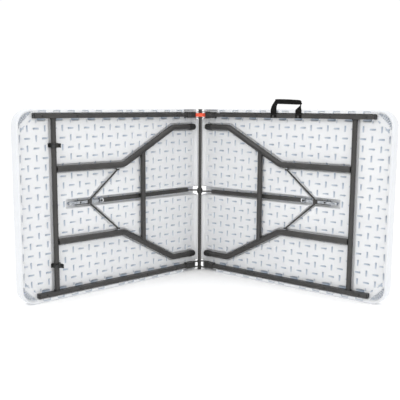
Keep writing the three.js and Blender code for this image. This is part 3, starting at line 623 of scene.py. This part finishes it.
def panel(half):
    """The moulded shell: a fine grid for the underside, a rounded wall and one flat top face."""
    s_line = np.linspace(SEAM_S + EDGE, HALF_LENGTH - EDGE, int(HALF_LENGTH / STEP))
    z_line = np.linspace(EDGE, WIDTH - EDGE, int(WIDTH / STEP))
    s, z = np.meshgrid(s_line, z_line, indexing="ij")
    s, z, outside = snap_to_outline(s, z)
    rise, painted_shade = deck_heights(s, z)
    columns = len(z_line)
    i, j = np.meshgrid(np.arange(len(s_line) - 1), np.arange(columns - 1), indexing="ij")
    corner = (i * columns + j).ravel()
    quads = np.stack([corner, corner + columns, corner + columns + 1, corner + 1], axis=1)
    keep = ~outside.ravel()[quads].all(axis=1)
    quads = quads[keep]
    loop = np.array(boundary_loop(quads))
    s, z, rise, painted_shade = (a.ravel() for a in (s, z, rise, painted_shade))

    # the side wall: rings that leave the underside's edge and turn over into the flat top
    normal_s, normal_z = outline_normal(s[loop], z[loop])
    profile = [(1.2, 0.016), (2.4, 0.045), (3.0, 0.09), (3.0, 0.3), (3.0, 0.6)]
    for a in (0, 18, 36, 54, 72, 90):
        turn = math.radians(a)
        out = EDGE - TOP_EDGE_R * (1 - math.cos(turn))
        profile.append((out, 1 - (TOP_EDGE_R / -TOP_RISE) * (1 - math.sin(turn))))
    all_s, all_z, all_rise, all_painted_shade = [s], [z], [rise], [painted_shade]
    for outward, fraction in profile:
        all_s.append(s[loop] + normal_s * outward)
        all_z.append(z[loop] + normal_z * outward)
        all_rise.append(rise[loop] + (TOP_RISE - rise[loop]) * fraction)
        # painted shade on the rounded side wall, none on the top rings
        all_painted_shade.append(np.full(len(loop), WALL_SHADE_PAINT if fraction < 0.95 else 0.0))
    rings = [loop]
    for k in range(len(profile)):
        rings.append(len(s) + k * len(loop) + np.arange(len(loop)))
    walls = []
    for upper, lower in zip(rings, rings[1:]):
        walls.append(np.stack([np.roll(upper, -1), upper, lower, np.roll(lower, -1)], axis=1))
    faces = np.concatenate([quads, *walls])
    points = world_array(half, *(np.concatenate(a) for a in (all_s, all_rise, all_z)))
    cap = rings[-1][::-1]
    if half == "left":
        faces = faces[:, ::-1]
        cap = cap[::-1]
    face_list = [*faces.tolist(), cap.tolist()]
    obj = new_object(
        f"panel_shell_{half}", points.tolist(), face_list, "panel_plastic", f"{half}_half")
    obj.data.polygons[len(face_list) - 1].use_smooth = False
    # the painted shade of every point, read by the panel material
    attribute = obj.data.attributes.new("painted_shade", "FLOAT", "POINT")
    attribute.data.foreach_set("value", np.concatenate(all_painted_shade).astype(np.float32))
    loose = bmesh.new()
    loose.from_mesh(obj.data)
    bmesh.ops.delete(loose, geom=[v for v in loose.verts if not v.link_faces], context="VERTS")
    loose.to_mesh(obj.data)
    loose.free()
    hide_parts(f"panel_{half}")


# ---- fixings on the steelwork -------------------------------------------------------------
OUT = (0, 1, 0)            # out of the underside, as a local [s, rise, z] direction
OUTWARDS = (1, 0, 0)       # along the half, away from the fold axis
SCREW_S = (132.0, 300.0, 640.0, 790.0)


def rail_screws(half):
    """Screw heads along the rails, and a rivet on each hinge saddle."""
    for end, z in zip(("bottom", "top"), RAIL_Z):
        for k, s in enumerate(SCREW_S):
            lathe(
                f"rail_screw_{end}_{k}_{half}", half, (s, -0.4, z), OUT,
                [(0, 4.4), (0.7, 4.5), (1.7, 3.9), (2.4, 2.6), (2.7, 1.1), (2.1, 0.8), (2.0, 0.2)],
                "black_plastic", f"{half}_half", 20)
    for end, z in zip(("bottom", "top"), RAIL_Z):
        lathe(
            f"saddle_rivet_{end}_{half}", half, (56.0, 1.3, z), OUT,
            [(0, 5.2), (0.8, 5.2), (1.7, 4.2), (2.1, 2.2), (2.2, 0.2)],
            "dark_steel", f"{half}_half", 20)


def weld_bead(name, half, ring, body, radius=1.25):
    """A rippled bead of weld along a row of [s, rise, z] points, thin at both ends."""
    rows = []
    count = len(ring)
    for k, point in enumerate(ring):
        before, after = ring[max(k - 1, 0)], ring[min(k + 1, count - 1)]
        here = world(half, *point)
        along = (world(half, *after) - world(half, *before)).normalized()
        side = along.orthogonal().normalized()
        up = along.cross(side)
        swell = radius * (1 + 0.16 * math.sin(k * 2.4))
        if k in (0, count - 1):
            swell = radius * 0.35
        rows.append([
            here + (side * math.cos(t) + up * math.sin(t)) * swell * MM
            for t in (2 * math.pi * i / 8 for i in range(8))])
    points, faces = loft(rows)
    obj = new_object(name, points, faces, "dark_steel", body)
    fix_normals(obj, 60)


def arc_around(centre, radius, first, second, start, end, count):
    """Points on an arc in the plane of two [s, rise, z] directions."""
    points = []
    for k in range(count):
        t = math.radians(start + (end - start) * k / (count - 1))
        points.append(tuple(
            centre[i] + radius * (first[i] * math.cos(t) + second[i] * math.sin(t))
            for i in range(3)))
    return points


def leg_welds(half):
    """Beads where the legs meet the pivot tube and where the crossbar meets the legs."""
    slope = (LEG_WIDE - LEG_NEAR) / (LEG_BEND_OUT - LEG_BEND_IN)
    lean = math.atan(slope)
    for end, side in (("top", 1), ("bottom", -1)):
        z = MID_Z + side * LEG_NEAR
        ring = arc_around((PIVOT_S - 9.4, TUBE_RISE, z), 12.4, (0, 0, 1), OUT, -35, 215, 26)
        weld_bead(f"pivot_weld_{end}_{half}", half, ring, f"leg_{half}")
        reach = LEG_NEAR + (LEG_BEND_OUT - CROSSBAR_S) * slope
        near = reach - LEG_R / math.cos(lean)
        ring = []
        for k in range(24):
            t = math.radians(-30 + 240 * k / 23)
            ds = 11.3 * math.cos(t)
            rise = min(CROSSBAR_RISE + 11.3 * math.sin(t), BEAD_TOP_RISE)
            fall = LEG_R - math.sqrt(max(LEG_R ** 2 - (rise - TUBE_RISE) ** 2, 16.0))
            across = near - ds * slope + fall * 1.1
            ring.append((CROSSBAR_S + ds, rise, MID_Z + side * across))
        weld_bead(f"crossbar_weld_{end}_{half}", half, ring, f"leg_{half}")


def elbow_fittings(half):
    """The elbow's bolt and stud, the lock ring's knob and the brace tube's rolled mouth."""
    body = f"brace_{half}"
    lathe(
        f"elbow_bolt_{half}", half, (ELBOW_S + 14, BRACE_RISE + 4.3, MID_Z), OUT,
        [(0, 6.2), (0.6, 6.3), (1.0, 5.1), (4.0, 5.1), (4.6, 4.4), (4.7, 2.6), (7.0, 2.5),
         (7.6, 1.9), (7.7, 0.2)],
        "zinc", body, 6)
    lathe(
        f"elbow_stud_{half}", half, (ELBOW_S - 20, BRACE_RISE + 4.3, MID_Z), OUT,
        [(0, 4.2), (1.2, 4.1), (2.2, 3.2), (2.8, 1.6), (2.9, 0.2)], "dark_steel", body, 20)
    lathe(
        f"ring_knob_{half}", half, (RING_S + 1, BRACE_RISE + 10.3, MID_Z + 1), OUT,
        [(0, 3.4), (1.2, 4.4), (3.2, 4.8), (4.6, 4.1), (5.3, 2.4), (5.5, 0.3)],
        "black_plastic", f"ring_{half}", 20)
    lathe(
        f"tube_mouth_{half}", half, (514.0, BRACE_RISE, MID_Z), OUTWARDS,
        [(-3.5, 9.15), (-3.0, 9.7), (0.2, 9.8), (1.1, 9.3), (1.15, 7.7)],
        "bright_zinc", body, 32)


def cap_ribs(half):
    """Grip ribs round each foot cap's sleeve."""
    for end, side in (("top", 1), ("bottom", -1)):
        for k in range(4):
            s = LEG_FOOT_S + 5.2 * k
            centre = (s, TUBE_RISE, MID_Z + side * LEG_WIDE)
            lathe(
                f"cap_rib_{k}_{end}_{half}", half, centre, OUTWARDS,
                [(-1.1, 13.2), (-0.8, 13.85), (0, 14.1), (0.8, 13.85), (1.1, 13.2)],
                "black_plastic", f"leg_{half}", 32)


# ---- the carry handle ---------------------------------------------------------------------
EDGE_POINTS = 9            # points along each face of the strap's cross-section


def strap_ring(s, z, width, lean, rise, thick, roll):
    """One cross-section of webbing: lean turns its width in the plane of the table's edge,
    roll turns it out of that plane."""
    ring = []
    outline = []
    for face in (1, -1):
        for k in range(EDGE_POINTS):
            t = face * (-1 + 2 * k / (EDGE_POINTS - 1))
            outline.append((t * width / 2, face * thick / 2 * (1 - 0.35 * abs(t) ** 6)))
    for across, through in outline:
        in_plane = across * math.cos(roll) - through * math.sin(roll)
        out = across * math.sin(roll) + through * math.cos(roll)
        ring.append((s + in_plane * math.cos(lean), rise + out, z + in_plane * math.sin(lean)))
    return ring


def interpolate(keys, count):
    """Evenly spaced stations through the given key stations, on a smooth curve."""
    keys = np.array(keys, float)
    at = np.linspace(0, len(keys) - 1, count)
    result = []
    for t in at:
        i = min(int(t), len(keys) - 2)
        f = t - i
        p0, p1 = keys[max(i - 1, 0)], keys[i]
        p2, p3 = keys[i + 1], keys[min(i + 2, len(keys) - 1)]
        result.append(0.5 * (
            2 * p1 + (p2 - p0) * f + (2 * p0 - 5 * p1 + 4 * p2 - p3) * f ** 2
            + (3 * p1 - p0 - 3 * p2 + p3) * f ** 3))
    return result


def carry_handle():
    """One strap in three runs: two legs sewn to the rail, and the doubled grip across them."""
    # stations: s, z, width, lean (deg), rise, thickness, roll (deg)
    inner_leg = [
        (383.5, 704.8, 27, 0, 1.8, 2.9, 0), (383.5, 722, 27, 0, 1.8, 2.9, 0),
        (384, 738, 27, -3, 1.8, 2.6, 0), (386.5, 750, 25, -12, 2.2, 1.9, 4),
        (391.5, 761, 21.5, -24, 2.2, 1.6, 8), (397.5, 770, 18, -36, 1.8, 1.5, 4),
        (402, 775, 14, -44, 1.6, 1.5, 0)]
    outer_leg = [
        (500.5, 704.8, 27, 0, 1.8, 2.9, 0), (500.5, 722, 27, 0, 1.8, 2.9, 0),
        (500.8, 738, 27, 3, 1.8, 2.6, 3), (503.5, 746, 24, 8, 2.0, 1.9, 20),
        (507.5, 753.5, 21, 16, 2.2, 1.6, 34), (511, 760.5, 19, 30, 2.2, 1.5, 42),
        (509.5, 767, 17, 48, 2.0, 1.5, 24), (504, 771, 14, 66, 1.6, 1.5, 8)]
    grip = [
        (394, 771.5, 15, 116, 2.2, 3.4, 0), (398.5, 771.8, 20, 113, 2.3, 4.4, 0),
        (414, 771.6, 20.2, 97, 2.4, 4.6, 0), (438, 771.0, 20.2, 90, 2.4, 4.7, 2),
        (463, 770.2, 20, 89, 2.4, 4.7, -2), (488, 769.0, 19.6, 94, 2.4, 4.6, 0),
        (508, 768.6, 19.4, 116, 2.3, 4.4, 0), (513, 768.4, 14, 122, 2.2, 3.4, 0)]
    points, faces = [], []
    weave = []
    for keys, count in ((inner_leg, 34), (outer_leg, 40), (grip, 48)):
        rings = []
        travelled = 0.0
        previous = None
        for s, z, width, lean, rise, thick, roll in interpolate(keys, count):
            rings.append(strap_ring(
                s, z, width, math.radians(lean), rise, thick, math.radians(roll)))
            if previous is not None:
                travelled += math.hypot(s - previous[0], z - previous[1])
            previous = (s, z)
            for k in range(2 * EDGE_POINTS):
                across = min(k, 2 * EDGE_POINTS - 1 - k)
                weave.append((across / (EDGE_POINTS - 1) * width, travelled))
        ring_points, ring_faces = loft(rings)
        base = len(points)
        points += ring_points
        faces += [tuple(i + base for i in face) for face in ring_faces]
    world_points = [world("right", *p) for p in points]
    obj = new_object("carry_handle", world_points, faces, "webbing", None)
    layer = obj.data.uv_layers.new(name="weave")
    for loop in obj.data.loops:
        layer.data[loop.index].uv = weave[loop.vertex_index]
    fix_normals(obj, 50)
    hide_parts("handle_loop_right", "handle_tab_inner_right", "handle_tab_outer_right")
    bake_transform(obj)


def handle_stitches():
    """Rows of stitches on the grip, and the box stitch on each sewn foot."""
    def stitch(s, z, rise, length, lean):
        half = length / 2
        a = (s - half * math.cos(lean), rise, z - half * math.sin(lean))
        b = (s + half * math.cos(lean), rise, z + half * math.sin(lean))
        rows = []
        for k in range(5):
            t = k / 4
            centre = [a[i] + (b[i] - a[i]) * t for i in range(3)]
            centre[1] += 0.25 * math.sin(math.pi * t)
            size = 0.22 + 0.28 * math.sin(math.pi * t)
            ring = []
            for n in range(6):
                u = 2 * math.pi * n / 6
                ring.append(world(
                    "right",
                    centre[0] + size * math.cos(u) * math.sin(lean),
                    centre[1] + size * math.sin(u),
                    centre[2] - size * math.cos(u) * math.cos(lean)))
            rows.append(ring)
        return loft(rows)

    groups = {"handle": [], "right_half": []}
    for k in range(21):
        for offset in (-8.0, 8.0):
            s = 406 + 4.6 * k
            z = 771.7 - 2.8 * (k / 20) ** 1.4 + offset
            groups["handle"].append((s, z, 4.85, 3.2, -0.03))
    for foot in (383.5, 500.5):
        for k in range(6):
            for z in (719.5, 735.0):
                groups["right_half"].append((foot - 10.5 + 4.2 * k, z, 3.35, 3.0, 0.0))
        for k in range(4):
            for side in (-11.4, 11.4):
                groups["right_half"].append((foot + side, 721.0 + 4.2 * k, 3.35, 3.0, math.pi / 2))
    for body, rows in groups.items():
        points, faces = [], []
        for row in rows:
            stitch_points, stitch_faces = stitch(*row)
            faces += [tuple(i + len(points) for i in face) for face in stitch_faces]
            points += stitch_points
        obj = new_object(f"stitches_{body}", points, faces, "thread", body)
        fix_normals(obj, 60)


# ---- the orange lock ----------------------------------------------------------------------
LOCK_HALF = 23.0           # half the lock's width
LOCK_BACK = 7.0            # how far it reaches behind the fold axis
LOCK_BORE_R = 8.3          # its open slot fits round the centre beam
LOCK_FACE = 13.0           # how far its face stands in front of the axis


def hinge_lock():
    """The lock: a slotted block with a crowned face, and a step with a groove on one side."""
    low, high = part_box("hinge_lock")
    height = (high.z - low.z) / MM
    base = low.z / MM
    columns = np.linspace(-LOCK_HALF, LOCK_HALF, 47)
    front = []
    for x in columns:
        depth = LOCK_FACE - 1.2 * (abs(x) / LOCK_HALF) ** 4
        depth -= 2.6 * float(smooth(12.5, 14.0, np.array(x)))
        depth -= 0.7 * (1 - min(abs(x - 13.2), 1.0)) if x > 12 else 0.0
        front.append(depth)
    rows = [
        0.0, 0.6, 1.6, 3.2, height / 2, height - 3.2, height - 1.6, height - 0.6, height]
    pull = [1.6, 0.7, 0.15, 0.0, 0.0, 0.0, 0.15, 0.7, 1.6]
    work = bmesh.new()
    bore = LOCK_BORE_R
    outline = [(-LOCK_HALF, LOCK_BACK), (-bore, LOCK_BACK), (-bore, 0.0)]
    for k in range(1, 12):
        t = math.radians(180 + 15 * k)
        outline.append((bore * math.cos(t), bore * math.sin(t)))
    outline += [(bore, 0.0), (bore, LOCK_BACK), (LOCK_HALF, LOCK_BACK)]
    face_line = [(x, -d) for x, d in zip(columns[::-1], front[::-1])]
    ring_line = outline + face_line
    rings = []
    for row, inset in zip(rows, pull):
        ring = []
        for k, (x, y) in enumerate(ring_line):
            if k >= len(outline):
                y = y + inset
                x = x * (1 - inset * 0.012)
            ring.append(work.verts.new((x * MM, AXIS_Y + y * MM, (base + row) * MM)))
        rings.append(ring)
    count = len(ring_line)
    for lower, upper in zip(rings, rings[1:]):
        for k in range(count):
            n = (k + 1) % count
            work.faces.new((lower[k], lower[n], upper[n], upper[k]))
    work.faces.new(reversed(rings[0]))
    work.faces.new(rings[-1])
    bmesh.ops.recalc_face_normals(work, faces=work.faces)
    mesh = bpy.data.meshes.new("lock_block")
    work.to_mesh(mesh)
    work.free()
    mesh.polygons.foreach_set("use_smooth", [True] * len(mesh.polygons))
    mesh.set_sharp_from_angle(angle=math.radians(SHARP_ANGLE))
    mesh.materials.append(MATERIALS["orange_plastic"])
    obj = bpy.data.objects.new("lock_block", mesh)
    bpy.context.scene.collection.objects.link(obj)
    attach(obj, "hinge_lock")
    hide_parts("hinge_lock")


# ---- finishes of the CAD nodes ------------------------------------------------------------
def dress_cad_nodes():
    """Gives every carried-over CAD node the material of its slot, and smooth shading."""
    slots = {row["node"]: row["material_slot"] for row in frame["record"]["subparts"]}
    for name, obj in frame["nodes"].items():
        obj.data.materials.clear()
        obj.data.materials.append(MATERIALS[slots[name]])
        for polygon in obj.data.polygons:
            polygon.use_smooth = True
        obj.data.set_sharp_from_angle(angle=math.radians(SHARP_ANGLE))


# ---- studio -------------------------------------------------------------------------------
CAMERA_TURN = math.radians(-1.048)
CAMERA_PITCH = math.radians(8.217)
CAMERA_ROLL = math.radians(0.222)
CAMERA_FROM_AXIS = (-0.1077, -2.9502, 0.7519)
CAMERA_LENS = 58.54
CAMERA_SHIFT = 0.03
FLOOR_HALF = 40.0          # metres
FLOOR_Z = -0.0004          # just under the table's edge


def camera():
    data = bpy.data.cameras.new("camera")
    data.lens = CAMERA_LENS
    data.sensor_width = 36.0
    data.shift_x = CAMERA_SHIFT
    obj = bpy.data.objects.new("camera", data)
    bpy.context.scene.collection.objects.link(obj)
    place = Matrix.Translation(Vector(CAMERA_FROM_AXIS) + Vector((0, AXIS_Y, 0)))
    turn = Matrix.Rotation(CAMERA_TURN, 4, "Z")
    tilt = Matrix.Rotation(math.pi / 2 - CAMERA_PITCH, 4, "X")
    obj.matrix_world = place @ turn @ tilt @ Matrix.Rotation(CAMERA_ROLL, 4, "Z")
    bpy.context.scene.camera = obj


def floor():
    mesh = bpy.data.meshes.new("floor")
    signs = [(-1, -1), (1, -1), (1, 1), (-1, 1)]
    corners = [(x * FLOOR_HALF, y * FLOOR_HALF, FLOOR_Z) for x, y in signs]
    mesh.from_pydata(corners, [], [(0, 1, 2, 3)])
    mesh.materials.append(floor_paint())
    obj = bpy.data.objects.new("floor", mesh)
    bpy.context.scene.collection.objects.link(obj)


def area_light(name, location, target, size, power):
    data = bpy.data.lights.new(name, "AREA")
    data.shape = "RECTANGLE"
    data.size, data.size_y = size
    data.energy = power
    obj = bpy.data.objects.new(name, data)
    obj.location = location
    direction = Vector(target) - Vector(location)
    obj.rotation_euler = direction.to_track_quat("-Z", "Y").to_euler()
    bpy.context.scene.collection.objects.link(obj)


def studio():
    """Even white surroundings and three soft lamps."""
    scene_world = bpy.data.worlds.new("studio")
    bpy.context.scene.world = scene_world
    scene_world.use_nodes = True
    background = scene_world.node_tree.nodes["Background"]
    background.inputs["Color"].default_value = (1.0, 1.0, 1.0, 1.0)
    background.inputs["Strength"].default_value = 1.03
    area_light("key", (-1.6, -2.6, 2.9), (0, 0, 0.4), (1.8, 1.2), 24)
    area_light("fill", (2.4, -2.2, 1.6), (0, 0, 0.4), (2.2, 1.6), 10)
    area_light("top", (0, 0.4, 3.0), (0, 0, 0.3), (2.4, 1.6), 18)
    bpy.context.scene.view_settings.view_transform = "Standard"


# ---- build --------------------------------------------------------------------------------
camera()
floor()
studio()
dress_cad_nodes()
for side_name in SIDES:
    panel(side_name)
    rail_screws(side_name)
    leg_welds(side_name)
    elbow_fittings(side_name)
    cap_ribs(side_name)
carry_handle()
handle_stitches()
hinge_lock()
